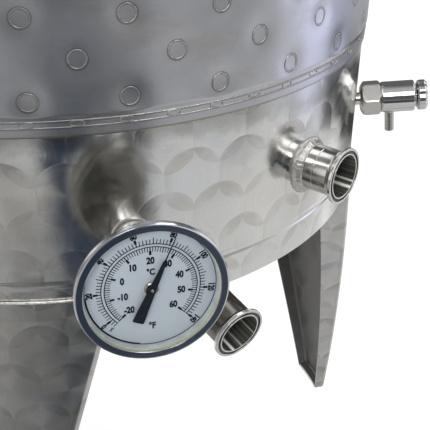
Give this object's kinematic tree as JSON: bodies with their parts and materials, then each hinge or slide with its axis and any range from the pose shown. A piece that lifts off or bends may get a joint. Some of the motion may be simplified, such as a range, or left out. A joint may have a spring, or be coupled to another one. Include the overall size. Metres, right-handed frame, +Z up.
{
  "type": "conical fermenter",
  "caption": "Jacketed stainless fermenting tank on three folded legs, with dial thermometer, clamp ports, sample tap and a hinged manway lid.",
  "frame": {"origin": "the tank's axis at floor level, between the three foot plates, which is within 6 mm of the middle of the footprint", "axes": "+Z up along the tank's axis, -Y the front, where the dial thermometer is, +X towards the sample tap"},
  "size_m": [0.7823, 0.8041, 1.398],
  "materials": {
    "marbled_steel": "marbled by overlapping abrasive discs, semi-gloss",
    "satin_steel": "satin sheet",
    "jacket_steel": "cold-rolled satin sheet with spot-weld rings",
    "turned_steel": "turned and welded fittings",
    "polished_steel": "polished stainless",
    "dial_white": "silvery white dial paint with black scale",
    "pointer_black": "satin black",
    "hub_brass": "turned",
    "bimetal": "rolled strip",
    "dial_glass": "clear flat glass",
    "cream_silicone": "matt",
    "white_silicone": "matt",
    "white_ptfe": "waxy white",
    "black_phenolic": "moulded black"
  },
  "bodies": {
    "vessel": {"bimetal_coil": "bimetal", "bolt_fork": "turned_steel", "bolt_pin": "polished_steel", "cone_bottom": "satin_steel", "dial_plate": "dial_white", "dial_spacer": "polished_steel", "dimple_jacket": "jacket_steel", "drain_ferrule": "polished_steel", "drain_pipe": "turned_steel", "front_foot_plate": "satin_steel", "front_leg": "marbled_steel", "glass_gasket": "cream_silicone", "hinge_bracket": "turned_steel", "hinge_pin": "polished_steel", "jacket_inlet_nipple": "turned_steel", "jacket_outlet_nipple": "turned_steel", "manway_neck": "satin_steel", "racking_ferrule": "polished_steel", "racking_tube": "turned_steel", "racking_weld_collar": "turned_steel", "rear_foot_plate": "satin_steel", "rear_leg": "marbled_steel", "right_foot_plate": "satin_steel", "right_leg": "marbled_steel", "stem_nut": "turned_steel", "stem_sheath": "polished_steel", "tap_body": "polished_steel", "tap_gasket": "white_ptfe", "tap_neck": "turned_steel", "tap_outlet": "turned_steel", "tap_union_nut": "turned_steel", "thermometer_bezel": "polished_steel", "thermometer_case": "satin_steel", "thermometer_glass": "dial_glass", "thermowell": "turned_steel", "top_head": "satin_steel", "vessel_wall": "marbled_steel"},
    "pointer": {"pointer": "pointer_black", "pointer_shaft": "polished_steel", "pointer_hub": "hub_brass"},
    "tap_stem": {"tap_seal": "white_ptfe"},
    "tap_knob": {"tap_knob": "polished_steel", "tap_spindle": "turned_steel"},
    "lid": {"manway_lid": "satin_steel", "lid_gasket": "white_silicone", "hinge_arm": "turned_steel", "lid_handle": "polished_steel", "lid_lug": "turned_steel", "breather_seat": "turned_steel"},
    "swing_bolt": {"swing_bolt": "polished_steel"},
    "bolt_washer": {"bolt_washer": "polished_steel"},
    "bolt_hand_nut": {"bolt_hand_nut": "black_phenolic"},
    "breather_cap": {"breather_cap": "polished_steel"}
  },
  "joints": [
    {"name": "pointer_sweep", "type": "hinge", "parent": "vessel", "child": "pointer", "pos_m": [0.05318, -0.39623, 0.49015], "axis": [-0.0749, 0.9966, -0.0332], "range_deg": [-158.6, 111.4]},
    {"name": "tap_seal_lift", "type": "slide", "parent": "vessel", "child": "tap_stem", "axis": [0.9597, -0.2572, 0.1132], "range_m": [0, 0.0046]},
    {"name": "tap_knob_turn", "type": "hinge", "parent": "tap_stem", "child": "tap_knob", "pos_m": [0.37628, -0.10082, 0.50392], "axis": [0.9597, -0.2572, 0.1132], "range_deg": [0, 540]},
    {"name": "lid_swing", "type": "hinge", "parent": "vessel", "child": "lid", "pos_m": [0, 0.187, 1.3425], "axis": [-1, 0, 0], "range_deg": [0, 110]},
    {"name": "bolt_swing", "type": "hinge", "parent": "vessel", "child": "swing_bolt", "pos_m": [0, -0.178, 1.311], "axis": [-1, 0, 0], "range_deg": [0, 102]},
    {"name": "nut_travel", "type": "slide", "parent": "swing_bolt", "child": "bolt_washer", "axis": [0, -0.9781, -0.2079], "range_m": [-0.0063, 0.0038]},
    {"name": "nut_turn", "type": "hinge", "parent": "bolt_washer", "child": "bolt_hand_nut", "pos_m": [0, -0.22006, 1.30206], "axis": [0, -0.9781, -0.2079], "range_deg": [-1800, 1080]},
    {"name": "breather_lift", "type": "slide", "parent": "lid", "child": "breather_cap", "axis": [0, 0, 1], "range_m": [0, 0.008]}
  ],
  "couplings": [
    {"joint": "tap_seal_lift", "follows": "tap_knob_turn", "m_per_rad": 0.00047746},
    {"joint": "nut_travel", "follows": "nut_turn", "m_per_rad": 0.00019894}
  ]
}
